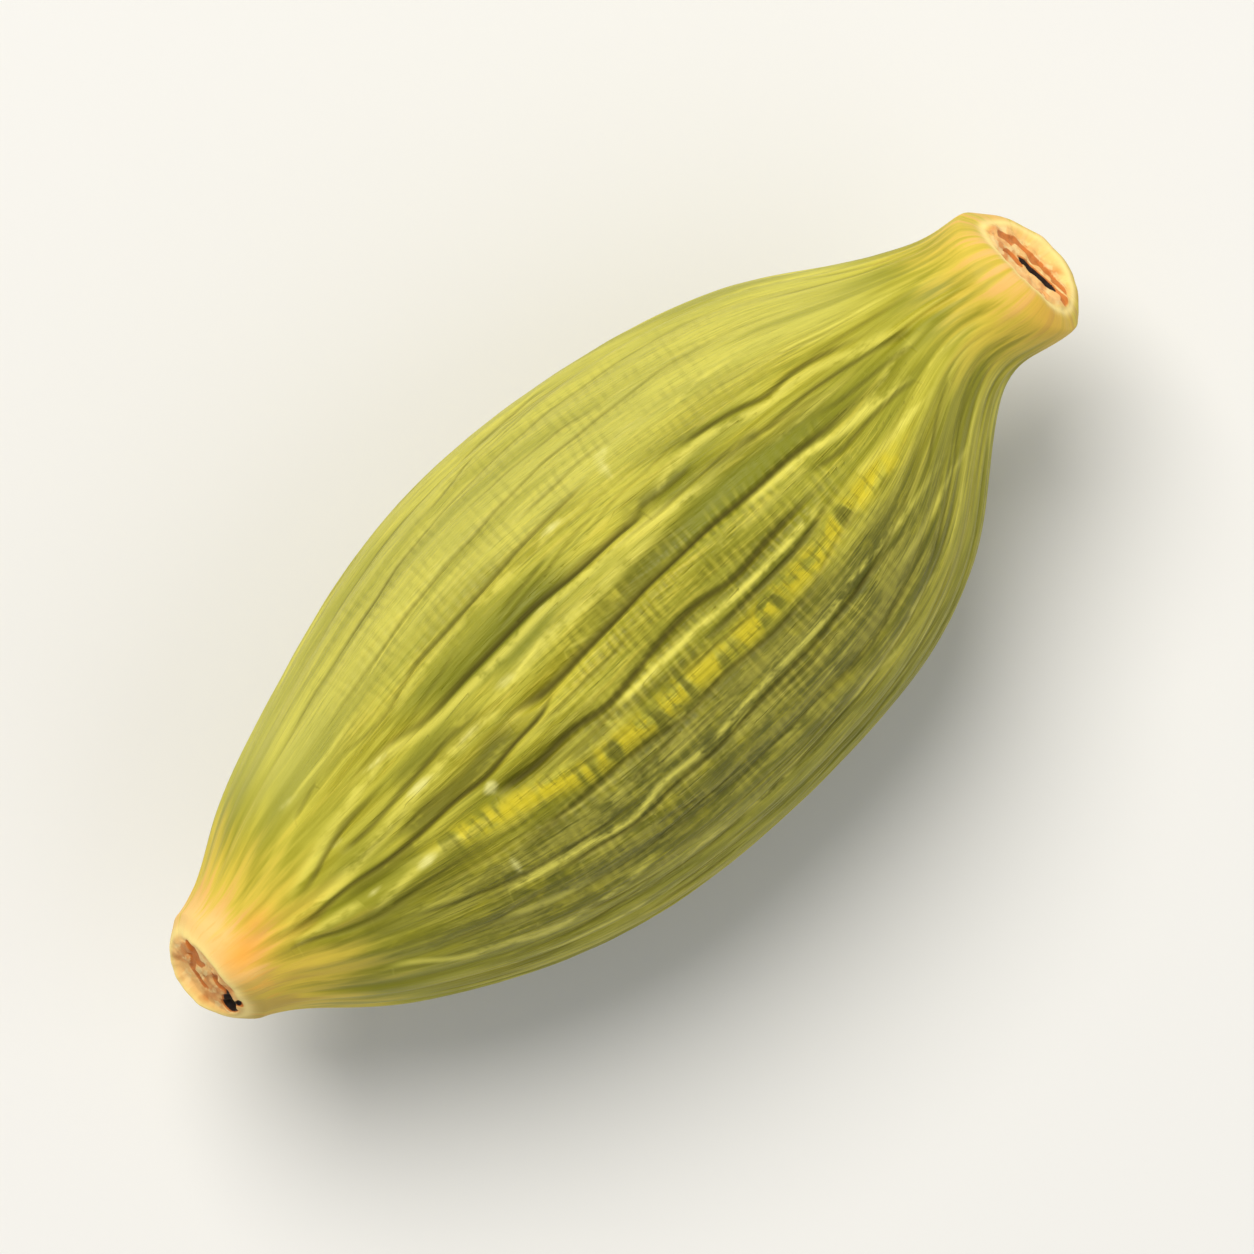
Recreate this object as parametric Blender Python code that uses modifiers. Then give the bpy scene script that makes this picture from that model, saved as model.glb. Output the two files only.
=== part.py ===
"""A dried green cardamom pod, lying on its side on a small flat spot.

Run with: blender --background --python part.py
Metres, +Z up. +X runs from the flower end to the stalk end. The origin is at the centre of the
pod's box, on the surface that it rests on.
"""

import math
import random

import bpy
import numpy as np

MM = 0.001

# Driving dimensions: the box of the finished pod
LENGTH = 20.0 * MM
WIDTH = 8.75 * MM
HEIGHT = 8.2 * MM

HALF_LENGTH = LENGTH / 2
HALF_WIDTH = WIDTH / 2

# Half-width of the pod between its two collars, as shares of half the length and half the width
BELLY_PROFILE = (
    (-0.895, 0.275),
    (-0.850, 0.325),
    (-0.755, 0.492),
    (-0.570, 0.717),
    (-0.380, 0.884),
    (-0.190, 0.980),
    (-0.020, 1.000),
    (0.190, 0.966),
    (0.380, 0.882),
    (0.560, 0.703),
    (0.655, 0.535),
    (0.745, 0.382),
    (0.820, 0.315),
    (0.890, 0.332),
)

# The collar at each end. Its lip rounds over from the collar's radius to a crest and down into a shallow cup
FLOWER_COLLAR = {
    "at": -0.895,  # share of half the length
    "radius": 1.20 * MM,
    "crest": 0.91 * MM,
    "mouth": 0.81 * MM,
    "lip": 0.56 * MM,
    "cup": 0.11 * MM,
}
STALK_COLLAR = {
    "at": 0.890,
    "radius": 1.45 * MM,
    "crest": 1.03 * MM,
    "mouth": 0.92 * MM,
    "lip": 0.58 * MM,
    "cup": 0.12 * MM,
}
COLLAR_SLANT = math.radians(7.0)  # both mouths are cut off a little upwards
SLANT_REACH = (0.82, 0.92)  # shares of half the length over which the slant grows
MOUTH_CROWN = 0.22 * MM  # how far the sides of a mouth stand back, at CROWN_AT from its middle
CROWN_AT = 1.0 * MM
CROWN_REACH = (0.90, 0.95)

# Cavities in the floor of each cup, each a slit between two places on it, given as distances
# from its middle towards +Y and upwards: (first place, second place, half-width, depth)
FLOWER_CAVITIES = (
    ((-0.62, -0.26), (-0.50, 0.12), 0.20, 0.45),
    ((0.44, 0.34), (0.56, 0.14), 0.16, 0.30),
    ((-0.22, 0.34), (0.00, 0.38), 0.14, 0.28),
    ((0.20, -0.56), (0.42, -0.44), 0.15, 0.26),
)
STALK_CAVITIES = (
    ((-0.72, 0.36), (0.02, 0.50), 0.17, 0.50),
    ((0.26, 0.66), (0.34, 0.62), 0.13, 0.26),
    ((0.74, 0.22), (0.42, -0.38), 0.16, 0.32),
    ((0.42, -0.38), (-0.40, -0.46), 0.15, 0.30),
)

# The pod's middle line: both ends turn up off the surface, and it sways from side to side
END_TILT = math.radians(17.0)
SIDE_SWAY = (  # (share of half the length, distance towards +Y)
    (-0.97, 0.10 * MM),
    (-0.60, -0.21 * MM),
    (0.00, -0.14 * MM),
    (0.56, 0.05 * MM),
    (0.80, 0.46 * MM),
    (0.97, 0.30 * MM),
)

# Section: three rounded corners, the first one a little to the -Y side of the top
CORNER_ROUNDNESS = 0.035
FIRST_CORNER = math.radians(-16.0)

# Ribs run from neck to neck between narrow grooves, highest in the middle of each of the three faces
RIB_COUNT = 26
RIB_HEIGHT = 0.105 * MM
RIB_FACE_MIDDLE = math.radians(5.0)
RIB_AT_CORNERS = 0.4  # height at the corners of the section, as a share of that in the middle of a face
RIB_FLATNESS = 2.6
RIB_FADE = (0.76, 0.92)  # shares of half the length over which the ribs die out at each neck

# Grooves on the top of the pod: depth, then (share of half the length, turn from the top in degrees)
TOP_GROOVES = (
    (0.80, ((-0.75, 28.0), (-0.47, 31.5), (-0.14, 34.5), (0.14, 38.0), (0.47, 41.0), (0.75, 38.0))),
    (1.10, ((-0.75, 13.0), (-0.55, 18.5), (-0.38, 21.5), (0.11, 22.0), (0.55, 21.5), (0.75, 18.0))),
    (1.20, ((-0.75, -1.0), (-0.47, 0.5), (-0.19, 4.0), (0.09, 9.0), (0.42, 13.0), (0.75, 12.0))),
    (0.95, ((-0.75, -10.0), (-0.40, -8.0), (-0.19, -8.0), (0.09, -4.5), (0.42, -1.5), (0.75, 2.0))),
    (0.90, ((-0.75, -20.0), (-0.42, -20.0), (-0.19, -21.0), (0.19, -20.0), (0.75, -11.0))),
    (0.85, ((-0.75, -31.0), (-0.42, -33.5), (0.0, -34.0), (0.33, -32.0), (0.75, -24.0))),
)

# The other grooves are spread evenly round the back, each a little off its place
GROOVE_SHIFT = math.radians(1.2)
GROOVE_WANDER = math.radians(1.5)

# The spot that it rests on is pressed this far into the belly
REST_DEPTH = 0.16 * MM

# Mesh: four columns of points for each rib, and rings along the profile
COLUMNS_PER_RIB = 4
FIRST_GROOVE_COLUMN = 10  # columns from the top to the first groove
BELLY_RINGS = 28
LIP_RINGS = 5
WALL_RINGS = 2
CUP_RINGS = 8


def smooth_through(knots, x):
    """Value at x of the smooth curve through the knots, each (position, value)."""
    position, value = np.array(knots, float).T
    slope = np.gradient(value, position)
    i = np.clip(np.searchsorted(position, x) - 1, 0, len(position) - 2)
    gap = position[i + 1] - position[i]
    t = np.clip((x - position[i]) / gap, 0.0, 1.0)
    level = value[i] * (1 - t) ** 2 * (1 + 2 * t) + value[i + 1] * t**2 * (3 - 2 * t)
    return level + gap * (slope[i] * t * (1 - t) ** 2 - slope[i + 1] * t**2 * (1 - t))


def ease(x, start, end):
    """0 before start, 1 after end, smooth between them."""
    t = np.clip((x - start) / (end - start), 0.0, 1.0)
    return t * t * (3 - 2 * t)


def collar_rings(collar):
    """(x, radius) from the middle of the cup's floor, up its wall, over the lip and out to the collar."""
    side = math.copysign(1.0, collar["at"])
    base = collar["at"] * HALF_LENGTH
    floor = base + side * (collar["lip"] - collar["cup"])
    rings = [(floor, collar["mouth"] * i / CUP_RINGS) for i in range(CUP_RINGS)]
    for i in range(WALL_RINGS):
        turn = math.pi / 2 * i / WALL_RINGS
        radius = collar["crest"] + (collar["mouth"] - collar["crest"]) * math.cos(turn)
        rings.append((floor + side * collar["cup"] * math.sin(turn), radius))
    for i in range(LIP_RINGS):
        turn = math.pi / 2 * (1 - i / LIP_RINGS)
        radius = collar["crest"] + (collar["radius"] - collar["crest"]) * math.cos(turn)
        rings.append((base + side * collar["lip"] * math.sin(turn), radius))
    return rings


def profile_rings():
    """(x, radius) all the way from the flower end's cup to the stalk end's."""
    start, end = BELLY_PROFILE[0][0], BELLY_PROFILE[-1][0]
    belly = []
    for i in range(BELLY_RINGS + 1):
        # the rings stand closer together towards the necks
        share = -math.cos(math.pi * i / BELLY_RINGS) * 0.35 + (2 * i / BELLY_RINGS - 1) * 0.65
        x = start + (end - start) * (share + 1) / 2
        belly.append((x * HALF_LENGTH, float(smooth_through(BELLY_PROFILE, x)) * HALF_WIDTH))
    return collar_rings(FLOWER_COLLAR) + belly + collar_rings(STALK_COLLAR)[::-1]


def turned_blank():
    """The pod as a plain turned shape: its profile, turned about the X axis."""
    rings = profile_rings()
    outline = bpy.data.meshes.new("profile")
    points = [(x, radius, 0.0) for x, radius in rings]
    outline.from_pydata(points, [(i, i + 1) for i in range(len(points) - 1)], [])
    profile = bpy.data.objects.new("profile", outline)
    bpy.context.scene.collection.objects.link(profile)
    screw = profile.modifiers.new("turn", "SCREW")
    screw.axis = "X"
    screw.steps = screw.render_steps = RIB_COUNT * COLUMNS_PER_RIB
    screw.use_merge_vertices = True
    screw.merge_threshold = 1e-6
    screw.use_normal_calculate = True
    bpy.context.view_layer.update()
    blank = bpy.data.meshes.new_from_object(profile.evaluated_get(bpy.context.evaluated_depsgraph_get()))
    bpy.data.objects.remove(profile)
    return blank


def groove_turns(share):
    """Turn of each groove at each place along the pod, from the first on top round to the first again."""
    seen = [np.radians(smooth_through(knots, share)) for _, knots in TOP_GROOVES]
    draw = random.Random(11)
    hidden = RIB_COUNT - len(seen)
    turns = list(seen)
    for i in range(1, hidden + 1):
        part = i / (hidden + 1)
        even = seen[-1] * (1 - part) + (seen[0] - math.tau) * part
        wave = np.sin(draw.uniform(0, math.tau) + 4.0 * share)
        turns.append(even + GROOVE_SHIFT * draw.uniform(-1, 1) + GROOVE_WANDER * wave)
    return np.array(turns + [seen[0] - math.tau])


def groove_depths():
    """Depth of each groove, in the same order."""
    draw = random.Random(12)
    seen = [depth for depth, _ in TOP_GROOVES]
    hidden = [draw.uniform(0.75, 1.15) for _ in range(RIB_COUNT - len(seen))]
    return np.array(seen + hidden + seen[:1])


def ribbed(x, radius, turn):
    """Moves each point's turn so that its column follows a rib, and gives the rib's height there."""
    share = x / HALF_LENGTH
    place = np.mod(FIRST_GROOVE_COLUMN / COLUMNS_PER_RIB - turn / math.tau * RIB_COUNT + 1e-6, RIB_COUNT)
    before = place.astype(int) % RIB_COUNT
    across = place - np.floor(place)
    turns = groove_turns(share)
    point = np.arange(len(x))
    turn = turns[before, point] * (1 - across) + turns[before + 1, point] * across
    depths = groove_depths()
    depth = depths[before] * (1 - across) + depths[before + 1] * across
    # a broad rounded crest between two narrow grooves
    section = 1.0 - 2.0 * np.abs(2 * across - 1) ** RIB_FLATNESS
    face = RIB_AT_CORNERS + (1 - RIB_AT_CORNERS) * np.cos(1.5 * (turn - RIB_FACE_MIDDLE)) ** 2
    taper = (radius / HALF_WIDTH) ** 0.75 * (1 - ease(np.abs(share), *RIB_FADE))
    return turn, RIB_HEIGHT * section * depth * face * taper


def hollowed(x, radius, turn, collar, cavities):
    """How far each point of one cup's floor is sunk, along X."""
    end = math.copysign(1.0, collar["at"])
    on_floor = (end * x > abs(collar["at"]) * HALF_LENGTH) & (radius < collar["mouth"] * 1.001)
    place = np.stack([radius * np.sin(turn), radius * np.cos(turn)], axis=1) / MM
    sink = np.zeros_like(x)
    for first, second, half_width, depth in cavities:
        slit = np.subtract(second, first)
        share = np.clip((place - first) @ slit / (slit @ slit), 0.0, 1.0)
        away = np.linalg.norm(place - first - share[:, None] * slit, axis=1)
        sink = np.maximum(sink, depth * MM * np.exp(-((away / half_width) ** 2)))
    return np.where(on_floor, -end * sink, 0.0)


def shape_pod(mesh):
    """Gives the turned blank its corners, ribs, cavities and bend, and presses the flat spot into it."""
    co = np.empty(len(mesh.vertices) * 3)
    mesh.vertices.foreach_get("co", co)
    x, y, z = co.reshape(-1, 3).T
    radius, turn = np.hypot(y, z), np.arctan2(y, z)  # turn is measured from +Z towards +Y
    belly = (radius / HALF_WIDTH) ** 1.3
    turn, rib = ribbed(x, radius, turn)
    sink = hollowed(x, radius, turn, FLOWER_COLLAR, FLOWER_CAVITIES)
    sink += hollowed(x, radius, turn, STALK_COLLAR, STALK_CAVITIES)
    radius = radius * (1 + CORNER_ROUNDNESS * belly * np.cos(3 * (turn - FIRST_CORNER))) + rib
    side, up = radius * np.sin(turn), radius * np.cos(turn)
    slant = up * math.tan(COLLAR_SLANT) * ease(np.abs(x) / HALF_LENGTH, *SLANT_REACH)
    crown = MOUTH_CROWN * (side / CROWN_AT) ** 2 * ease(np.abs(x) / HALF_LENGTH, *CROWN_REACH)
    x = x + sink - np.sign(x) * (slant + crown)
    # the middle line is a parabola in the XZ plane, and each section stands square to it
    share = x / HALF_LENGTH
    lean = np.arctan(math.tan(END_TILT) * share)
    rise = math.tan(END_TILT) * HALF_LENGTH * share**2 / 2
    sway = smooth_through(SIDE_SWAY, share)
    points = np.stack([x - up * np.sin(lean), side + sway, rise + up * np.cos(lean)], axis=1)
    # size the box, with the flat spot at z = 0
    size = np.ptp(points, axis=0)
    points *= np.array([LENGTH, WIDTH, HEIGHT + REST_DEPTH]) / size
    rest = points[:, 2].min() + REST_DEPTH
    points[:, 2] = np.maximum(points[:, 2], rest) - rest
    points[:, :2] -= (points[:, :2].min(axis=0) + points[:, :2].max(axis=0)) / 2
    mesh.vertices.foreach_set("co", points.ravel())
    mesh.update()


def pod_material():
    """Pale yellow-green dried husk, dull with a faint sheen."""
    skin = bpy.data.materials.new("pod_skin")
    skin.use_nodes = True
    shader = skin.node_tree.nodes["Principled BSDF"]
    shader.inputs["Base Color"].default_value = (0.40, 0.38, 0.075, 1.0)
    shader.inputs["Roughness"].default_value = 0.6
    shader.inputs["Metallic"].default_value = 0.0
    return skin


def main():
    for obj in list(bpy.data.objects):
        bpy.data.objects.remove(obj)
    parts = bpy.data.collections.new("green_cardamom_pod")
    bpy.context.scene.collection.children.link(parts)
    mesh = turned_blank()
    mesh.name = "pod"
    shape_pod(mesh)
    mesh.materials.append(pod_material())
    mesh.shade_smooth()
    mesh.set_sharp_from_angle(angle=math.radians(60.0))
    parts.objects.link(bpy.data.objects.new("pod", mesh))


main()
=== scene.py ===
import math
import random

import bpy
import numpy as np
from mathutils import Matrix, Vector, noise


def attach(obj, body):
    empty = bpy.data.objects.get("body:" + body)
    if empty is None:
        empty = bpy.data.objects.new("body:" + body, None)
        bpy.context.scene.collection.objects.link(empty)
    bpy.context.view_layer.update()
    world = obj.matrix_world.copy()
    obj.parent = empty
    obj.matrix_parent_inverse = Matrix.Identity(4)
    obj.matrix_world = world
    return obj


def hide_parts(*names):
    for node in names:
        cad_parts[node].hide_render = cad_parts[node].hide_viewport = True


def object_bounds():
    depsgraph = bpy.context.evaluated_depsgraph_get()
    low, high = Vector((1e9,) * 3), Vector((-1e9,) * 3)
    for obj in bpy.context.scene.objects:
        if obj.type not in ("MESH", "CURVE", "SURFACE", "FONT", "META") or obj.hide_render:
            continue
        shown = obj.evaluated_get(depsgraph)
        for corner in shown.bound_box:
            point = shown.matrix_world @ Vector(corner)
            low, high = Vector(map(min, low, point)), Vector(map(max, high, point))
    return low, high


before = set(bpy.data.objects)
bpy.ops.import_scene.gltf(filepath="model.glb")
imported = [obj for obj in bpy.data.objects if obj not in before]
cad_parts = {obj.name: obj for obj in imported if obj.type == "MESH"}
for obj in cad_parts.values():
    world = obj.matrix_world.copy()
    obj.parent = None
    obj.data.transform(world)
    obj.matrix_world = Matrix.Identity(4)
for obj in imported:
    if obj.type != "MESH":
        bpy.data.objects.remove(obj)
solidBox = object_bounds()  # the solid's own box, by which the fine copy's points are placed on the pod
mm = 0.001

# A dried green cardamom pod. Places on it are given in mm along its middle line, from the flower
# end at -10 to the stalk end at +10, and as a turn in degrees from its top towards +Y.

podShape = {
    "node": "pod",
    "levels": 2,  # rounds of subdivision on the solid's own mesh
    "half": 10.0,  # mm, half its length
    "belly": 4.375,  # mm, its greatest radius
    "endTilt": 17.0,  # degrees that both ends turn up
    "mouthSlant": 7.0,  # degrees that both mouths are cut off upwards
    "sway": [(-9.7, 0.10), (-6.0, -0.21), (0.0, -0.14), (5.6, 0.05), (8.0, 0.46), (9.7, 0.30)],
    "turnedSize": (19.803, 8.904, 8.910),  # mm, its size and low corner before it was fitted to its box
    "turnedLow": (-9.885, -4.501, -4.317),
    "pressed": 0.16,  # mm, how deep its flat spot is pressed in
    "seenFrom": 134.0,  # mm, how far off the lines on its top are looked at
    "steep": (0.2, 0.6),  # how upward the skin faces where those lines come in
}

# Lines on the top, in mm as seen from above: how deep, strong or dark each is, how wide it is towards -Y
# and towards +Y, the stretch where it is at its most, and its path. The furrows also get painted shade
# along them, the veins are partly painted highlight, and the shades are painted shade
topFurrows = [
    (0.060, 0.09, 0.11, (-3.2, 0.4),
     [(-3.95, 1.66), (-3.3, 1.90), (-2.35, 2.04), (-1.4, 2.18), (-0.45, 2.31), (0.45, 2.39),
      (1.45, 2.41)]),
    (0.035, 0.09, 0.12, (-4.7, -3.9),
     [(-5.35, 1.52), (-4.7, 1.53), (-4.1, 1.62), (-3.6, 1.79)]),
    (0.035, 0.09, 0.12, (-6.4, -6.1),
     [(-6.7, 1.18), (-6.3, 1.32), (-5.8, 1.51)]),
    (0.045, 0.14, 0.18, (1.6, 2.5),
     [(1.1, 1.52), (1.9, 1.45), (2.8, 1.43)]),
    (0.085, 0.11, 0.15, (3.3, 5.6),
     [(2.45, 1.86), (3.2, 1.80), (3.95, 1.68), (4.5, 1.53), (5.1, 1.53), (5.45, 1.49), (6.2, 1.30),
      (6.95, 1.11)]),
    (0.075, 0.12, 0.14, (5.6, 7.0),
     [(2.8, 1.30), (3.4, 1.17), (4.3, 1.08), (5.25, 1.09), (6.0, 0.98), (6.8, 0.83), (7.35, 0.72)]),
    (0.125, 0.12, 0.15, (-2.4, 1.2),
     [(-6.2, 0.94), (-5.45, 1.08), (-4.7, 1.15), (-3.75, 1.08), (-2.8, 1.20), (-1.9, 1.30), (-0.95, 1.39),
      (0.0, 1.38), (0.95, 1.41), (1.7, 1.39)]),
    (0.080, 0.10, 0.12, (-6.8, -6.0),
     [(-7.7, 0.04), (-7.05, 0.21), (-6.6, 0.40), (-6.1, 0.56), (-5.45, 0.64), (-4.7, 0.70)]),
    (0.070, 0.11, 0.16, (-6.0, -4.4),
     [(-6.4, 0.23), (-5.65, 0.25), (-4.9, 0.37), (-4.3, 0.45), (-3.6, 0.55), (-2.8, 0.58)]),
    (0.100, 0.12, 0.16, (-7.6, -2.2),
     [(-8.3, -0.31), (-7.5, -0.35), (-6.6, -0.30), (-5.85, -0.40), (-5.1, -0.40), (-4.3, -0.34),
      (-3.6, -0.39), (-2.8, -0.24), (-2.05, -0.14), (-1.6, 0.04)]),
    (0.160, 0.13, 0.25, (-1.9, 4.4),
     [(-2.8, 0.19), (-2.05, 0.11), (-1.4, 0.15), (-0.75, 0.24), (0.0, 0.32), (0.75, 0.40), (1.5, 0.42),
      (2.25, 0.45), (3.2, 0.42), (4.15, 0.44), (5.1, 0.38), (6.0, 0.41), (6.8, 0.30)]),
    (0.085, 0.16, 0.18, (-3.2, 3.2),
     [(-3.75, -0.72), (-2.8, -0.81), (-1.9, -0.76), (-1.05, -0.81), (-0.4, -0.70), (0.4, -0.55),
      (1.15, -0.47), (2.05, -0.54), (3.0, -0.40), (3.95, -0.32), (4.6, -0.28)]),
    (0.060, 0.10, 0.12, (4.6, 6.4),
     [(4.15, -0.02), (4.9, -0.07), (5.65, 0.02), (6.2, 0.05), (6.85, 0.0)]),
    (0.050, 0.11, 0.13, (5.6, 6.8),
     [(4.7, 0.72), (5.45, 0.62), (6.2, 0.58), (7.15, 0.53)]),
    (0.060, 0.10, 0.12, (1.6, 3.4),
     [(0.75, -1.09), (1.5, -1.04), (2.25, -0.98), (3.0, -0.91), (3.75, -0.75), (4.5, -0.51)]),
    (0.050, 0.12, 0.14, (-8.0, -6.6),
     [(-8.2, -0.47), (-7.7, -0.62), (-7.25, -0.83), (-6.6, -1.03), (-5.85, -1.13), (-4.9, -1.22),
      (-3.95, -1.28)]),
    (0.045, 0.15, 0.15, (-3.0, 2.4),
     [(-3.95, -1.75), (-2.65, -1.78), (-1.3, -1.78), (0.0, -1.86), (0.75, -1.75), (1.9, -1.75),
      (3.0, -1.62)]),
    (0.055, 0.12, 0.12, (-3.0, 3.6),
     [(-3.95, -2.47), (-2.8, -2.63), (-2.05, -2.75), (-1.15, -2.68), (0.0, -2.66), (0.75, -2.56),
      (1.7, -2.45), (2.65, -2.33), (3.6, -2.12), (4.5, -1.94), (5.35, -1.82)]),
    (0.030, 0.12, 0.12, (-5.6, -4.4),
     [(-6.2, -2.07), (-5.25, -2.40), (-4.35, -2.54), (-3.6, -2.73)]),
    (0.035, 0.12, 0.12, (-4.4, -3.0),
     [(-5.25, -3.06), (-4.35, -3.39), (-3.2, -3.62), (-1.9, -3.63)]),
    (0.030, 0.10, 0.10, (-0.6, 0.6),
     [(-1.3, -3.98), (0.0, -4.01), (1.15, -3.86)]),
]
# Pale lines on the top, partly the skin's veins and partly painted highlight on the lit crests beside the
# furrows
topVeinsAndHighlights = [
    (0.50, 0.10, 0.10, (-3.6, -1.2),
     [(-4.25, 1.46), (-3.3, 1.74), (-2.35, 1.91), (-1.6, 2.00), (-0.75, 2.02)]),
    (0.70, 0.12, 0.12, (-7.0, 2.2),
     [(-7.7, 0.24), (-7.05, 0.40), (-6.4, 0.63), (-5.85, 0.75), (-5.2, 0.93), (-4.5, 1.01), (-3.95, 0.94),
      (-3.2, 0.96), (-2.05, 1.05), (-0.75, 1.19), (0.4, 1.19), (1.15, 1.17), (1.9, 1.11), (2.45, 1.04),
      (3.2, 0.92)]),
    (0.65, 0.11, 0.11, (2.6, 6.6),
     [(1.15, 1.17), (2.35, 1.62), (3.4, 1.64), (4.15, 1.44), (5.25, 1.36), (6.2, 1.11), (7.15, 0.90)]),
    (0.60, 0.14, 0.14, (-2.2, 1.0),
     [(-2.65, 0.52), (-2.05, 0.60), (-1.4, 0.73), (-0.55, 0.75), (0.55, 0.85), (1.9, 0.91)]),
    (0.80, 0.12, 0.12, (-7.6, -3.0),
     [(-8.2, -0.14), (-7.05, -0.14), (-5.85, -0.02), (-4.9, 0.15), (-4.35, 0.22), (-3.6, 0.31),
      (-2.8, 0.34), (-2.45, 0.31)]),
    (0.85, 0.10, 0.10, (3.3, 6.2),
     [(2.8, 0.31), (3.6, 0.30), (4.35, 0.29), (5.1, 0.19), (5.85, 0.17), (6.8, 0.13)]),
    (0.45, 0.09, 0.09, (2.4, 4.2),
     [(1.9, 0.06), (3.0, 0.04), (3.95, 0.08), (4.5, 0.15)]),
    (0.90, 0.075, 0.075, (-0.7, 3.6),
     [(-1.2, -0.93), (0.0, -0.87), (0.95, -0.82), (1.9, -0.81), (2.65, -0.77), (3.4, -0.66),
      (4.15, -0.54)]),
    (0.85, 0.09, 0.09, (5.0, 6.4),
     [(4.7, -0.61), (5.45, -0.53), (6.2, -0.38), (6.95, -0.22)]),
    (0.70, 0.10, 0.10, (-7.8, -6.9),
     [(-8.1, -0.44), (-7.55, -0.52), (-6.95, -0.62), (-6.5, -0.70)]),
    (0.70, 0.09, 0.09, (-6.2, -4.6),
     [(-6.8, -0.92), (-6.0, -0.87), (-5.25, -0.85), (-4.5, -0.94), (-3.75, -1.05)]),
    (0.95, 0.075, 0.075, (-4.2, 3.6),
     [(-4.7, -2.13), (-3.75, -2.32), (-2.9, -2.47), (-2.05, -2.62), (-1.3, -2.50), (-0.3, -2.52),
      (0.75, -2.37), (1.9, -2.26), (2.9, -2.12), (3.6, -1.92), (4.5, -1.75), (5.45, -1.54),
      (6.8, -1.13)]),
    (0.40, 0.09, 0.09, (-2.0, -0.6),
     [(-2.45, -2.26), (-1.7, -2.13), (-0.85, -2.24), (-0.1, -2.16)]),
    (0.70, 0.10, 0.10, (-6.6, -2.8),
     [(-7.15, -1.77), (-6.6, -2.07), (-6.0, -2.49), (-5.25, -2.82), (-4.5, -3.16), (-3.75, -3.31),
      (-2.8, -3.39), (-1.9, -3.35)]),
    (0.70, 0.08, 0.08, (-1.6, 0.6),
     [(-2.05, -3.76), (-1.5, -3.73), (-0.4, -3.86), (0.4, -3.80), (1.15, -3.65)]),
    (0.60, 0.10, 0.10, (-4.5, -3.8),
     [(-5.0, -2.41), (-4.5, -2.65), (-3.95, -2.84), (-3.2, -2.95)]),
    (0.60, 0.09, 0.09, (3.6, 4.4),
     [(3.2, -3.33), (3.75, -3.11), (4.35, -2.91), (4.9, -2.73)]),
    (0.60, 0.10, 0.10, (2.4, 3.6),
     [(2.05, -3.59), (2.65, -3.43), (3.4, -3.39), (4.15, -3.18)]),
    (0.50, 0.09, 0.09, (4.8, 6.4),
     [(4.15, -2.31), (4.9, -2.13), (5.65, -1.83), (6.8, -1.39)]),
]
# Painted shade on the top: broad dark bands on the slopes beside some furrows that turn away from the light
topShades = [
    (0.85, 0.12, 0.28, (1.0, 4.6),
     [(-1.2, 0.35), (0.0, 0.50), (1.0, 0.58), (2.4, 0.62), (3.8, 0.62), (4.8, 0.68), (6.0, 0.62)]),
    (0.80, 0.18, 0.18, (1.6, 2.6),
     [(1.1, 1.50), (1.9, 1.46), (2.9, 1.40)]),
    (0.60, 0.14, 0.14, (3.1, 3.9),
     [(2.6, 1.30), (3.3, 1.17), (4.1, 1.10)]),
    (0.75, 0.16, 0.16, (-3.2, 3.0),
     [(-3.75, -0.75), (-2.8, -0.83), (-1.9, -0.80), (-1.05, -0.84), (-0.4, -0.73), (0.4, -0.60),
      (1.15, -0.55), (2.05, -0.58), (3.0, -0.42), (3.95, -0.34)]),
    (0.80, 0.20, 0.20, (-5.0, -3.0),
     [(-5.6, -0.30), (-4.7, -0.20), (-3.9, -0.22), (-3.2, -0.10), (-2.4, 0.02)]),
    (0.55, 0.16, 0.16, (-4.6, -3.4),
     [(-5.0, 0.56), (-4.1, 0.60), (-3.4, 0.60), (-2.6, 0.56)]),
    (0.70, 0.12, 0.12, (-2.0, 3.4),
     [(-2.5, -1.10), (-1.8, -1.14), (-1.1, -1.04), (0.0, -1.13), (0.8, -1.13), (1.5, -1.08), (2.5, -0.97),
      (3.4, -0.85), (4.2, -0.62)]),
    (0.80, 0.20, 0.12, (-3.4, 2.6),
     [(-4.2, -1.74), (-2.6, -1.77), (-1.0, -1.75), (0.5, -1.77), (1.9, -1.75), (3.0, -1.60),
      (4.0, -1.40)]),
    (0.60, 0.14, 0.14, (-6.4, -5.2),
     [(-7.0, -0.36), (-5.8, -0.46), (-4.9, -0.46)]),
    (0.50, 0.20, 0.20, (-6.6, -4.6),
     [(-7.2, -1.0), (-5.9, -1.13), (-4.9, -1.20), (-3.9, -1.28)]),
]
yellowBand = (1.0, 0.22, 0.22, (-4.0, 5.0), [(-5.8, -0.80), (-4.3, -0.94), (-3.6, -1.07), (-2.8, -1.26),
                                             (-2.35, -1.42), (-1.4, -1.50), (-0.45, -1.50), (0.2, -1.46),
                                             (0.95, -1.49), (1.7, -1.41), (2.45, -1.29), (3.4, -1.18),
                                             (4.15, -0.95), (5.2, -0.76), (6.2, -0.60)])

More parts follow.
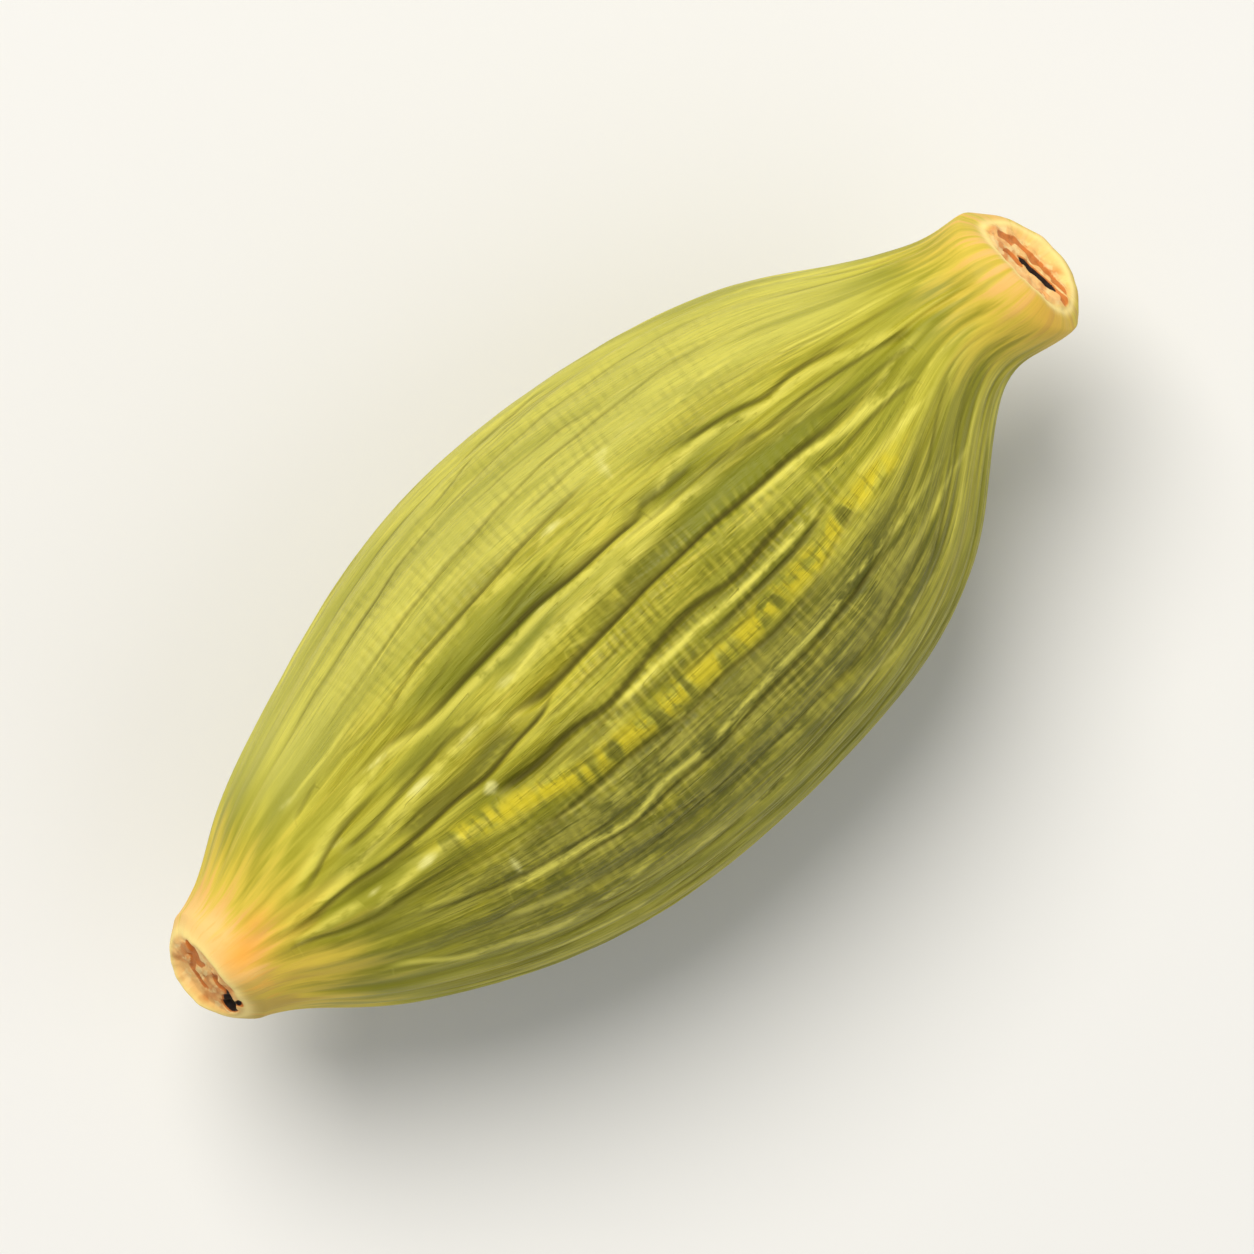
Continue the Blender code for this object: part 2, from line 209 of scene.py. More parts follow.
# Patches on the top, as seen from above: middle, half length, half width in mm, and strength. The pale ones
# are painted highlights on the ridges
ridgeHighlights = [
    (-3.62, -0.60, 0.15, 0.13, 1.0), (-5.30, -0.85, 0.24, 0.10, 0.85), (-4.55, 0.24, 0.36, 0.10, 0.72),
    (1.50, 2.42, 0.13, 0.32, 0.62), (-4.15, -1.92, 0.10, 0.22, 0.62), (0.15, 2.19, 0.28, 0.09, 0.62),
    (1.66, 2.62, 0.22, 0.10, 0.60), (-2.20, 0.66, 0.34, 0.12, 0.58), (-6.35, -0.66, 0.20, 0.07, 0.55),
    (-4.85, 1.05, 0.42, 0.07, 0.55), (-3.30, 0.36, 0.50, 0.10, 0.50), (-6.30, 0.42, 0.22, 0.08, 0.52),
    (-6.50, 1.52, 0.34, 0.09, 0.45), (-0.90, 1.24, 0.30, 0.07, 0.50),
]
orangeBlush = [
    (-8.80, 0.00, 0.50, 0.36, 1.0), (-8.35, 0.28, 0.40, 0.20, 0.6), (9.02, -0.40, 0.30, 0.75, 0.4),
]

# The furrows round the back follow the solid's own, which lie between these two on its top
backFurrows = {
    "first": [(-7.5, 28), (-4.7, 31.5), (-1.4, 34.5), (1.4, 38), (4.7, 41), (7.5, 38)],
    "last": [(-7.5, -31), (-4.2, -33.5), (0, -34), (3.3, -32), (7.5, -24)],
    "count": 20,
    "shift": 1.2,  # degrees off its even place
    "wander": 1.5,  # degrees from side to side
    "placeDraw": 11,
    "shapeDraw": 21,
    "depth": (0.03, 0.12),  # mm
    "width": (0.10, 0.17),  # mm
    "faceMiddle": 5.0,  # degrees, the middle of the first of the three faces, where furrows are deepest
}

# Fine lines that follow the skin's flow all round: how many, and their length, width and depth in mm, or
# for veins how strong they are
fineLines = {
    "creases": {
        "count": 190,
        "draw": 31,
        "length": (1.2, 4.6),
        "width": (0.05, 0.09),
        "depth": (0.012, 0.036),
    },
    "veins": {
        "count": 170,
        "draw": 32,
        "length": (1.0, 5.0),
        "width": (0.03, 0.07),
        "depth": (0.20, 0.70),
    },
    "furthest": (7.4, 8.2),  # mm from the middle, where one may start and end
    "drift": 2.0,  # degrees off the flow
    "smoothFlank": (36.0, 84.0),  # degrees, where only some are left in
    "leftIn": 0.25,  # the share of them
}

scars = {  # where the flower and the stalk came away, in mm from the middle of each face
    "flower": {
        "side": -1,
        "mouth": 0.78,
        "crest": 0.95,
        "level": 9.39,  # mm from the middle of the pod, where its floor lies
        "cavities": [  # between two places (towards +Y, upwards), half its width, how much deeper, how dark it is painted: brown, and at the darkest black painted shade
            ((-0.64, -0.20), (-0.56, 0.22), 0.18, 0.12, 1.0),
            ((-0.80, 0.46), (-0.64, 0.26), 0.09, 0.06, 0.9),
            ((0.32, 0.22), (0.52, 0.44), 0.17, 0.05, 0.60),
            ((-0.24, 0.28), (-0.12, 0.44), 0.13, 0.05, 0.64),
            ((-0.09, -0.40), (0.26, -0.30), 0.12, 0.04, 0.42),
            ((0.26, -0.30), (0.42, 0.16), 0.08, 0.03, 0.42),
        ],
    },
    "stalk": {
        "side": 1,
        "mouth": 0.88,
        "crest": 1.05,
        "level": 9.34,
        "cavities": [
            ((-0.48, -0.06), (0.06, -0.04), 0.19, 0.11, 1.0),
            ((-0.88, -0.06), (-0.52, -0.06), 0.15, 0.06, 0.60),
            ((0.18, 0.28), (0.38, 0.32), 0.14, 0.05, 0.60),
            ((0.74, 0.00), (0.46, -0.48), 0.14, 0.05, 0.45),
            ((0.46, -0.48), (-0.05, -0.64), 0.15, 0.05, 0.50),
            ((-0.05, -0.64), (-0.66, -0.46), 0.13, 0.04, 0.42),
        ],
    },
    "starts": 8.6,  # mm from the middle of the pod
    "leans": 0.06,  # mm further out for each mm upwards
    "stalkSkew": (0.14, 1.4),  # mm further out for each mm towards -Y on the stalk's lip, up to so many
    "stalkLip": (1.27, 0.15, 0.07),  # mm, where its lip is rounded out, how wide and by how much
    "lipReach": (8.5, 9.1),  # mm along, where both come in
    "stalkShift": -0.13,  # mm towards +Y
    "shiftReach": (7.4, 9.0),  # mm along, where it comes in
    "ragged": 0.10,  # mm, how uneven the edges of the cavities are
    "roughWaves": 5.0,  # to the mm, on both floors
    "roughHeight": 0.03,  # mm
    "notchWaves": (0.1, 0.9),  # to the mm along and across, on both lips
    "notchReach": (0.5, 0.9),  # mm from the middle of the face, where the notches come in
    "notchHeight": 0.03,  # mm
    "pits": 7,  # on each floor
    "pitDraw": 5,
    "pitRadius": (0.03, 0.06),  # mm
    "pitDepth": 0.05,  # mm
    "pitTone": 0.4,  # how dark they are
    "rimWidth": 0.09,  # mm, of the pale line on each crest
}

relief = {  # waves to the mm along and across, and height in mm
    "wrinkles": (0.22, 2.2, 0.015),
    "fibres": (0.40, 3.4, 0.010),
    "puckers": (2.2, 0.7, 0.007),
    "dents": (0.22, 0.35, 0.035),
    "neckFlutes": (0.18, 1.2, 0.030),
    "neckReach": (5.8, 7.6),  # mm from the middle, where the flutes come in
    "skinEnds": (8.2, 9.0),  # mm from the middle, where all of it goes out
    "clearOfFloor": (0.02, 0.5),  # mm up, where it comes in, so that the flat spot stays flat
    "furrowCut": (1.15, 1.6),  # how much of a furrow's depth is cut in, and how square its walls are
    "furrowLip": (0.32, 2.0, 2.4),  # how much is raised beside it, how square and how much wider
}

# The skin's broad tints, among them painted light on the upper flank and painted shade on the lower flank,
# between the top furrows and on the stubs' low side: in degrees from its top towards +Y, where each comes
# in and goes out again, and in mm from its middle, where it fades towards the ends
tints = {
    "wander": (0.5, 3.0),  # waves to the mm and degrees, how uneven their edges are
    # grey-green on the lower flank, partly the skin's own tone and partly painted shade where it turns from
    # the key
    "dull": (-140, -105, -25, -17),
    "dullEnds": (4.4, 7.2, 0.55),  # and the share that is lost there
    "dullEdge": (46, 62, 0.65),  # degrees towards -Y, and the same
    "backWaves": (0.12, 0.3),  # to the mm, of the dull patches on the back
    "backLevels": (0.1, 0.5),  # of that noise, where they come in
    "backFrom": (80, 110),  # degrees to either side
    "backTone": 0.7,
    # a lighter upper flank: painted light where the key falls
    "pale": (26, 44, 90, 125),
    "paleEnds": (6.0, 8.0),
    # painted shade on the top between the furrows
    "topBetweenShade": (3, 10, 22, 34),
    "topBetweenShadeEnds": (5.5, 7.5),
    "woven": [((-75, -40, -18, -10), 0.65), ((-18, -10, 7, 14), 1.0), ((22, 34, 60, 85), 0.45)],
    "wovenCrest": (-2.5, -0.6),  # mm along, where it comes in on the crest
    "wovenEnds": (3.4, 6.2),
    # painted shade on the lower side of the stubs
    "shadedLowSide": (16, 34),  # degrees towards -Y
    "endsAt": (1.02, 0.96),  # how far out the flower's and the stalk's end colours are drawn
}

# Lines are painted finer than the mesh (the painted shade along the furrows, and the veins): their marks
# hold how many of its own widths a point is from a line, in three sets, because two lines that are close
# can't share one
lineMarks = {
    "sets": 3,
    "farthest": 5.0,  # widths, as far as they are marked
    "fadesFrom": 2.6,  # widths
    "mayMeet": 0.02,  # the share of a line that may touch another of its set
    "furrowWidth": (0.034, 0.26),  # mm, and what is added for each mm of depth
    "furrowTone": (0.16, 0.115),  # how dark the painted shade of a shallow one is, and the depth in mm that adds the rest
    "nowhere": 9.0,  # mm, for points that a line doesn't pass
    "wiggles": [(0.020, 1.9, 97, 0), (0.012, 4.7, 61, 1)],  # mm, waves, and what shifts them by line
}


def curveThrough(knots, x):  # smooth curve through (place, value) knots
    place, value = np.array(knots, float).T
    slope = np.gradient(value, place)
    i = np.clip(np.searchsorted(place, x) - 1, 0, len(place) - 2)
    gap = place[i + 1] - place[i]
    t = np.clip((x - place[i]) / gap, 0.0, 1.0)
    level = value[i] * (1 - t) ** 2 * (1 + 2 * t) + value[i + 1] * t**2 * (3 - 2 * t)
    return level + gap * (slope[i] * t * (1 - t) ** 2 - slope[i + 1] * t**2 * (1 - t))


def easeIn(x, start, end):  # 0 at start, 1 at end, smooth between them
    t = np.clip((x - start) / (end - start), 0.0, 1.0)
    return t * t * (3 - 2 * t)


def lessPast(x, start, end, share=1.0):  # 1 before start, and this share less past end
    return 1 - share * easeIn(x, start, end)


def within(x, places):  # 0 outside the outer two of four places, 1 between the inner two
    return easeIn(x, *places[:2]) * lessPast(x, *places[2:])


def onlySelect(obj):
    bpy.ops.object.select_all(action="DESELECT")
    obj.select_set(True)
    bpy.context.view_layer.objects.active = obj


def fineCopy():  # the solid's mesh, merged, made quads and subdivided
    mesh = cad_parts[podShape["node"]].data.copy()
    pod = bpy.data.objects.new("pod_husk", mesh)
    bpy.context.scene.collection.objects.link(pod)
    onlySelect(pod)
    bpy.ops.object.mode_set(mode="EDIT")
    bpy.ops.mesh.select_all(action="SELECT")
    bpy.ops.mesh.remove_doubles(threshold=0.0005 * mm)
    bpy.ops.mesh.customdata_custom_splitnormals_clear()
    bpy.ops.mesh.mark_sharp(clear=True)
    bpy.ops.mesh.tris_convert_to_quads(face_threshold=math.radians(60), shape_threshold=math.radians(90))
    bpy.ops.object.mode_set(mode="OBJECT")
    finer = pod.modifiers.new("finer", "SUBSURF")
    finer.levels = finer.render_levels = podShape["levels"]
    bpy.ops.object.modifier_apply(modifier=finer.name)
    bpy.ops.object.shade_smooth()
    print("pod: fine copy has", len(pod.data.vertices), "points and", len(pod.data.polygons), "faces")
    return pod


def pointsOf(mesh):
    co = np.empty(len(mesh.vertices) * 3)
    mesh.vertices.foreach_get("co", co)
    return co.reshape(-1, 3)


def normalsOf(mesh):
    normal = np.empty(len(mesh.vertices) * 3, np.float32)
    mesh.vertex_normals.foreach_get("vector", normal)
    return normal.reshape(-1, 3).astype(float)


def placesOnPod(co):  # mm along, radius in mm and turn of every point, with the pod's bend taken out
    size, low = np.array(podShape["turnedSize"]), np.array(podShape["turnedLow"])
    boxLow = np.array(solidBox[0]) / mm - (0, 0, podShape["pressed"])
    boxSize = np.array(solidBox[1]) / mm - boxLow
    px, py, pz = ((co / mm - boxLow) * size / boxSize + low).T
    half, tilt = podShape["half"], math.tan(math.radians(podShape["endTilt"]))
    along = px.copy()
    for _ in range(8):  # walk along the middle line to the foot of each point
        lean = np.arctan(tilt * along / half)
        rise = tilt * along**2 / half / 2
        ahead = (px - along) * np.cos(lean) + (pz - rise) * np.sin(lean)
        along += ahead * np.cos(lean)
    up = -(px - along) * np.sin(lean) + (pz - rise) * np.cos(lean)
    side = py - curveThrough(podShape["sway"], along)
    slant = math.tan(math.radians(podShape["mouthSlant"])) * easeIn(np.abs(along) / half, 0.82, 0.92)
    along += up * np.sign(along) * slant
    return along, np.hypot(side, up), np.arctan2(side, up)


def grainOf(along, turn):  # unrolls the skin without a seam: mm along, and a place on a circle
    belly = podShape["belly"]
    return np.stack([along, belly * np.sin(turn), belly * np.cos(turn)], axis=1)


def noiseOn(grain, alongWaves, acrossWaves, seed):  # smooth noise from -1 to 1, with waves to the mm
    points = grain * (alongWaves, acrossWaves, acrossWaves) + (seed * 7.3, seed * 3.1, seed * 5.7)
    return np.array([noise.noise(Vector(p)) for p in points])


def presence(path, strong, along):  # 1 where a line is at its strongest, 0 past its ends
    return within(along, (path[0][0], *strong, path[-1][0]))


def fromAbove(line, at):  # mm across the skin from a line on the top, and how present the line is
    strong, path = line[-2:]
    off, here = np.full_like(at["x"], lineMarks["nowhere"]), np.zeros_like(at["x"])
    upwardFrom = podShape["steep"][0]
    near = (at["x"] > path[0][0]) & (at["x"] < path[-1][0]) & (at["upward"] > upwardFrom)
    x, upward = at["x"][near], at["upward"][near]
    off[near] = (at["y"][near] - curveThrough(path, x)) / upward
    here[near] = presence(path, strong, x) * easeIn(upward, *podShape["steep"])
    return off, here


def roundThePod(line, at):  # the same for a line whose path is in mm along and degrees
    strong, path = line[-2:]
    off, here = np.full_like(at["x"], lineMarks["nowhere"]), np.zeros_like(at["x"])
    near = (at["along"] > path[0][0]) & (at["along"] < path[-1][0])
    along = at["along"][near]
    turnOff = at["turn"][near] - np.radians(curveThrough(path, along))
    off[near] = (np.mod(turnOff + math.pi, math.tau) - math.pi) * at["radius"][near]
    for height, waves, shift, which in lineMarks["wiggles"]:
        off[near] += height * np.sin(waves * along + shift * line[which])
    here[near] = presence(path, strong, along)
    return off, here


def eachLine(above, around, at):
    for line in above:
        yield line, *fromAbove(line, at)
    for line in around:
        yield line, *roundThePod(line, at)


def softLine(line, off, here, power=2.0, wider=1.0):  # 1 on the line, 0 away from it
    return here * np.exp(-np.abs(off / (np.where(off > 0, line[2], line[1]) * wider)) ** power)


def newMarks(count):
    return np.full((count, lineMarks["sets"]), lineMarks["farthest"]), np.zeros((count, lineMarks["sets"]))


def markNearest(marks, off, strength):  # in the set where it meets the fewest others, or not at all
    away, tones = marks
    near = (strength > 0.01) & (np.abs(off) < lineMarks["farthest"])
    meets = (tones[near] > 0.05).sum(axis=0)
    own = int(np.argmin(meets))
    if meets[own] > lineMarks["mayMeet"] * near.sum():
        return
    tone = strength * (1 - easeIn(np.abs(off), lineMarks["fadesFrom"], lineMarks["farthest"]))
    near &= (np.abs(off) < np.abs(away[:, own])) & (tone > 0.6 * tones[:, own])
    away[near, own] = off[near]
    tones[near, own] = tone[near]


def patchMask(patches, at):
    mask = np.zeros_like(at["x"])
    for x, y, halfLength, halfWidth, strength in patches:
        off = ((at["x"] - x) / halfLength) ** 2 + ((at["y"] - y) / halfWidth) ** 2
        mask = np.maximum(mask, strength * np.exp(-off) * (at["upward"] > 0))
    return mask


def furrowsRoundTheBack():
    half = podShape["half"]
    place, shape = random.Random(backFurrows["placeDraw"]), random.Random(backFurrows["shapeDraw"])
    stations = np.linspace(-7.8, 7.8, 9)
    first = curveThrough(backFurrows["first"], stations) - 360
    last = curveThrough(backFurrows["last"], stations)
    furrows = []
    for i in range(1, backFurrows["count"] + 1):
        part = i / (backFurrows["count"] + 1)
        wave = np.sin(place.uniform(0, math.tau) + 4.0 * stations / half)
        turns = last * (1 - part) + first * part
        turns = turns + backFurrows["shift"] * place.uniform(-1, 1) + backFurrows["wander"] * wave
        face = math.cos(math.radians(1.5 * (turns[4] - backFurrows["faceMiddle"]))) ** 2
        depth = shape.uniform(*backFurrows["depth"]) * (0.45 + 0.55 * face)
        strong = sorted((shape.uniform(-6.5, 1.0), shape.uniform(-1.0, 6.5)))
        path = [(float(s), float(t)) for s, t in zip(stations, turns)]
        width = shape.uniform(*backFurrows["width"])
        furrows.append((depth, width, width, tuple(strong), path))
    return furrows


def flowLine(turn, stations):  # the skin's own line through this turn, in degrees at each station
    first, last = (curveThrough(backFurrows[k], np.append(stations, 0.0)) for k in ("first", "last"))
    first, middleFirst = first[:-1], first[-1]
    last, middleLast = last[:-1], last[-1]
    if middleLast <= turn <= middleFirst:
        part = (turn - middleLast) / (middleFirst - middleLast)
        return last * (1 - part) + first * part
    part = (turn - middleFirst) % 360 / (360 - middleFirst + middleLast)
    return first * (1 - part) + (last + 360) * part


def seededLines(lines):
    draw = random.Random(lines["draw"])
    low, high = fineLines["smoothFlank"]
    furthestStart, furthestEnd = fineLines["furthest"]
    made = []
    while len(made) < lines["count"]:
        turn, length = draw.uniform(-180, 180), draw.uniform(*lines["length"])
        start, width = draw.uniform(-furthestStart, furthestStart), draw.uniform(*lines["width"])
        depth, drift = draw.uniform(*lines["depth"]), draw.uniform(-fineLines["drift"], fineLines["drift"])
        keep = draw.random()
        if low < turn < high and keep > fineLines["leftIn"]:
            continue
        end = min(start + length, furthestEnd)
        stations = np.linspace(start, end, 5)
        turns = flowLine(turn, stations) + drift * np.linspace(-1, 1, 5)
        strong = (start + 0.35 * (end - start), start + 0.65 * (end - start))
        path = [(float(s), float(t)) for s, t in zip(stations, turns)]
        made.append((depth, width, width, strong, path))
    return made


def cavitiesAt(scar, aside, above, rough):  # mm deeper than the floor, and how dark it is painted, brown and at the darkest black painted shade, all over a face
    place = np.stack([aside, above], axis=1)
    deeper, dark = np.zeros_like(aside), np.zeros_like(aside)
    for first, second, halfWidth, depth, tone in scar["cavities"]:
        slit = np.subtract(second, first)
        share = np.clip((place - first) @ slit / (slit @ slit), 0.0, 1.0)
        away = np.linalg.norm(place - first - share[:, None] * slit, axis=1) + scars["ragged"] * rough
        deeper = np.maximum(deeper, depth * (1 - easeIn(away, 0.4 * halfWidth, 1.2 * halfWidth)))
        dark = np.maximum(dark, tone * (1 - easeIn(away, 0.8 * halfWidth, 1.15 * halfWidth)))
    return deeper, dark


def placesOf(co):  # where every point is: in the picture, along and round the pod, and on its skin
    along, radius, turn = placesOnPod(co)
    nearer = 1 + (co[:, 2] / mm - co[:, 2].max() / mm / 2) / podShape["seenFrom"]
    return {
        "x": co[:, 0] / mm * nearer,
        "y": co[:, 1] / mm * nearer,
        "upward": np.cos(turn),
        "along": along,
        "fromMiddle": np.abs(along),
        "radius": radius,
        "turn": turn,
        "grain": grainOf(along, turn),
    }


def carveSkin(co, normal, at):  # gives the marks of its furrows, and how high its wrinkles are
    thickness = np.clip(at["radius"] / podShape["belly"], 0.0, 1.0)
    onSkin = lessPast(at["fromMiddle"], *relief["skinEnds"])
    clear = easeIn(co[:, 2] / mm, *relief["clearOfFloor"])
    cut, cutPower = relief["furrowCut"]
    lip, lipPower, lipWider = relief["furrowLip"]
    baseWidth, depthWidth = lineMarks["furrowWidth"]
    baseTone, fullDepth = lineMarks["furrowTone"]

    height = np.zeros(len(co))
    marks = newMarks(len(co))
    aroundThePod = furrowsRoundTheBack() + seededLines(fineLines["creases"])
    for line, off, here in eachLine(topFurrows, aroundThePod, at):
        depth = line[0]
        here = here * thickness**0.5
        height += depth * lip * softLine(line, off, here, lipPower, lipWider)
        height -= depth * cut * softLine(line, off, here, cutPower)
        # how dark the painted shade along this furrow is
        tone = min(1.0, baseTone + depth / fullDepth)
        markNearest(marks, off / (baseWidth + depthWidth * depth), here * onSkin * tone)

    neck = easeIn(at["fromMiddle"], *relief["neckReach"])
    waves, shares = {}, {"wrinkles": 1.0, "fibres": thickness, "puckers": thickness, "dents": thickness}
    shares["neckFlutes"] = neck
    for seed, (name, share) in enumerate(shares.items(), 1):
        *waveCounts, rise = relief[name]
        waves[name] = noiseOn(at["grain"], *waveCounts, seed)
        height += rise * waves[name] * share
    co += normal * (height * onSkin * clear)[:, None] * mm
    print("pod: skin carved, from", round(height.min(), 3), "to", round(height.max(), 3), "mm")
    # the wrinkle and flute height, by which their low places get painted shade
    return marks, np.clip(0.5 + (waves["wrinkles"] + 0.6 * waves["neckFlutes"] * neck) * 0.8, 0, 1)


def carveScars(co, at):  # gives the masks of their floor, hollows and rim
    along, radius, turn = at["along"], at["radius"], at["turn"]
    lean = np.arctan(math.tan(math.radians(podShape["endTilt"])) * along / podShape["half"])
    outwards = np.stack([np.cos(lean), np.zeros_like(lean), np.sin(lean)], axis=1) * np.sign(along)[:, None]
    aside, above = radius * np.sin(turn), radius * np.cos(turn)
    rough = noiseOn(np.stack([np.sign(along), aside, above], axis=1), 1.0, scars["roughWaves"], 6)
    notches = noiseOn(at["grain"], *scars["notchWaves"], 7) * easeIn(radius, *scars["notchReach"])

    skew, skewReach = scars["stalkSkew"]
    lipRadius, lipWidth, lipHeight = scars["stalkLip"]
    fuller = skew * np.clip(-aside, 0.0, skewReach)
    fuller += lipHeight * np.exp(-(((radius - lipRadius) / lipWidth) ** 2))
    co += outwards * (fuller * easeIn(along, *scars["lipReach"]))[:, None] * mm
    co[:, 1] += scars["stalkShift"] * easeIn(along, *scars["shiftReach"]) * mm

    masks = {name: np.zeros(len(co)) for name in ("scarFloor", "hollow", "rim")}
    draw = random.Random(scars["pitDraw"])
    for scar in (scars["flower"], scars["stalk"]):
        atEnd = (scar["side"] * along > scars["starts"]) * 1.0
        inMouth = atEnd * lessPast(radius, scar["mouth"], scar["crest"])
        deeper, dark = cavitiesAt(scar, aside, above, rough)
        pits = np.zeros(len(co))
        for _ in range(scars["pits"]):
            out, angle = scar["mouth"] * math.sqrt(draw.uniform(0.0, 0.9)), draw.uniform(0, math.tau)
            off = np.hypot(aside - out * math.sin(angle), above - out * math.cos(angle))
            pits = np.maximum(pits, np.exp(-((off / draw.uniform(*scars["pitRadius"])) ** 2)))
        wanted = scar["level"] + scars["leans"] * above - deeper - scars["pitDepth"] * pits
        wanted += scars["roughHeight"] * rough
        raised = inMouth * (wanted - scar["side"] * along) + scars["notchHeight"] * notches * atEnd
        co += outwards * raised[:, None] * mm
        masks["scarFloor"] += inMouth
        # brown in the cavities and pits, and black painted shade in the darkest cavities
        masks["hollow"] += inMouth * np.maximum(dark, scars["pitTone"] * pits)
        masks["rim"] += atEnd * np.exp(-(((radius - scar["crest"]) / scars["rimWidth"]) ** 2))
    print("pod: end scars carved")
    return masks


def tintMasks(at):
    grain, fromMiddle = at["grain"], at["fromMiddle"]
    waves, wander = tints["wander"]
    degrees = np.degrees(at["turn"]) + wander * noiseOn(grain, waves, waves, 9)

    # painted shade on the top, from topShades
    shade = np.zeros_like(degrees)
    for line, off, here in eachLine(topShades, [], at):
        shade = np.maximum(shade, line[0] * softLine(line, off, here, 2.4))
    # the lower flank's grey-green, partly painted shade where it turns away from the key
    dull = within(degrees, tints["dull"]) * lessPast(fromMiddle, *tints["dullEnds"])
    dull *= lessPast(-degrees, *tints["dullEdge"])
    patches = easeIn(noiseOn(grain, *tints["backWaves"], 10), *tints["backLevels"])
    onBack = easeIn(np.abs(degrees), *tints["backFrom"])
    flank, crest, upper = (share * within(degrees, turns) for turns, share in tints["woven"])
    crest *= easeIn(at["along"], *tints["wovenCrest"])
    return {
        "shade": shade,
        "band": softLine(yellowBand, *fromAbove(yellowBand, at), 3.0),
        "dull": np.maximum(dull, tints["backTone"] * patches * onBack),
        # painted light on the upper flank that faces the key
        "pale": within(degrees, tints["pale"]) * lessPast(fromMiddle, *tints["paleEnds"]),
        "woven": (flank + crest + upper) * lessPast(fromMiddle, *tints["wovenEnds"]),
        # painted shade on the top between the furrows
        "topBetweenShade": within(degrees, tints["topBetweenShade"]) * lessPast(fromMiddle, *tints["topBetweenShadeEnds"]),
        # painted shade on the lower side of the stubs
        "shadedLowSide": easeIn(-degrees, *tints["shadedLowSide"]),
        # painted highlights on the ridges
        "spot": patchMask(ridgeHighlights, at),
        "blush": patchMask(orangeBlush, at),
        "toEnd": fromMiddle / podShape["half"] * np.where(at["along"] < 0, *tints["endsAt"]),
    }


def sculptPod(pod):
    co = pointsOf(pod.data)
    at = placesOf(co)
    furrowMarks, crest = carveSkin(co, normalsOf(pod.data), at)
    marks = carveScars(co, at)
    co[:, 2] = np.maximum(co[:, 2], 0.0)
    pod.data.vertices.foreach_set("co", co.ravel())
    pod.data.update()

    veinMarks = newMarks(len(co))
    # pale veins, partly painted highlight on the lit crests beside the furrows
    for line, off, here in eachLine(topVeinsAndHighlights, seededLines(fineLines["veins"]), at):
        markNearest(veinMarks, off / line[1], here * line[0])
    marks.update(tintMasks(at), crest=crest)
    for name, values in marks.items():
        layer = pod.data.attributes.new(name, "FLOAT", "POINT")
        layer.data.foreach_set("value", values.astype(np.float32))
    vectors = {
        "grain": at["grain"],
        "furrowAway": furrowMarks[0],
        "furrowTone": furrowMarks[1],
        "veinAway": veinMarks[0],
        "veinTone": veinMarks[1],
    }
    for name, values in vectors.items():
        layer = pod.data.attributes.new(name, "FLOAT_VECTOR", "POINT")
        layer.data.foreach_set("vector", values.astype(np.float32).ravel())
    print("pod: skin marked")


# The skin's colours, as they look on a screen from 0 to 255
skinColours = {
    "husk": (160, 152, 36),
    "huskPale": (192, 184, 62),
    # lighter tone of the painted light on the upper flank, also the sheen's tint
    "palest": (204, 199, 94),
    "leaf": (126, 127, 25),
    "leafDark": (92, 90, 12),
    "straw": (216, 200, 72),
    # painted shade along the furrows
    "furrow": (70, 64, 8),
    # grey-green of the lower flank and back, partly painted shade
    "dull": (104, 103, 24),
    "dullDark": (78, 80, 20),
    "dullPale": (148, 142, 56),
    # pale veins, and painted highlight on the lit crests
    "veinAndHighlight": (226, 216, 92),
    "bandYellow": (216, 196, 38),
    # painted highlight on the ridges
    "spot": (232, 226, 138),
    "endYellow": (228, 196, 72),
    "peach": (232, 180, 98),
    "cream": (244, 202, 128),
    "orange": (240, 170, 70),
    # darker tan of the painted shade on the stubs' lower side
    "tan": (186, 158, 62),
    "rim": (255, 226, 140),
    "flesh": (252, 196, 120),
    "fleshDark": (206, 112, 42),
    "web": (255, 220, 150),
    # black painted shade in the darkest cavities
    "hollow": (36, 20, 10),
}

# Noise on the skin: waves to the mm along and across its grain, detail, and where it is drawn from
skinNoise = {
    "soft": (0.45, 1.5, 3.0, 5.0),
    "broad": (0.25, 0.6, 1.0, 0.0),
    "fibre": (0.40, 4.2, 3.0, 3.0),
    "thread": (0.9, 12.0, 3.0, 7.0),
    "hair": (1.5, 30.0, 2.0, 9.0),
    "dashes": (2.5, 0.8, 1.0, 29.0),
    "blocks": (1.7, 2.6, 2.0, 23.0),
    "mottle": (1.6, 2.2, 3.0, 17.0),
}

# The layers of paint, from the bottom up: the mask that each keeps to and the pattern that breaks it,
# between which levels of the pattern it comes in, how strong it is, and its colour
huskLayers = [
    (None, "fibre", (0.40, 0.58), 1.0, "huskPale"),
    (None, "broad", (0.44, 0.60), 0.55, "leaf"),
    (None, "thread", (0.53, 0.66), 0.5, "straw"),
    (None, "thread", (0.46, 0.34), 0.45, "leaf"),
    # painted light on the upper flank that faces the key
    ("pale", None, None, 0.6, "palest"),
    (None, "hair", (0.52, 0.70), 0.22, "straw"),
    (None, "hair", (0.47, 0.30), 0.28, "leaf"),
    # painted shade in the low places of the wrinkles and neck flutes
    (None, "crest", (0.45, 0.12), 0.35, "leaf"),
]
dullLayers = [
    (None, "fibre", (0.45, 0.58), 1.0, "dullPale"),
    (None, "thread", (0.5, 0.62), 0.55, "dullPale"),
    (None, "thread", (0.46, 0.36), 0.6, "dullDark"),
    (None, "blocks", (0.54, 0.66), 0.45, "husk"),
    (None, "mottle", (0.48, 0.34), 0.6, "dullDark"),
]
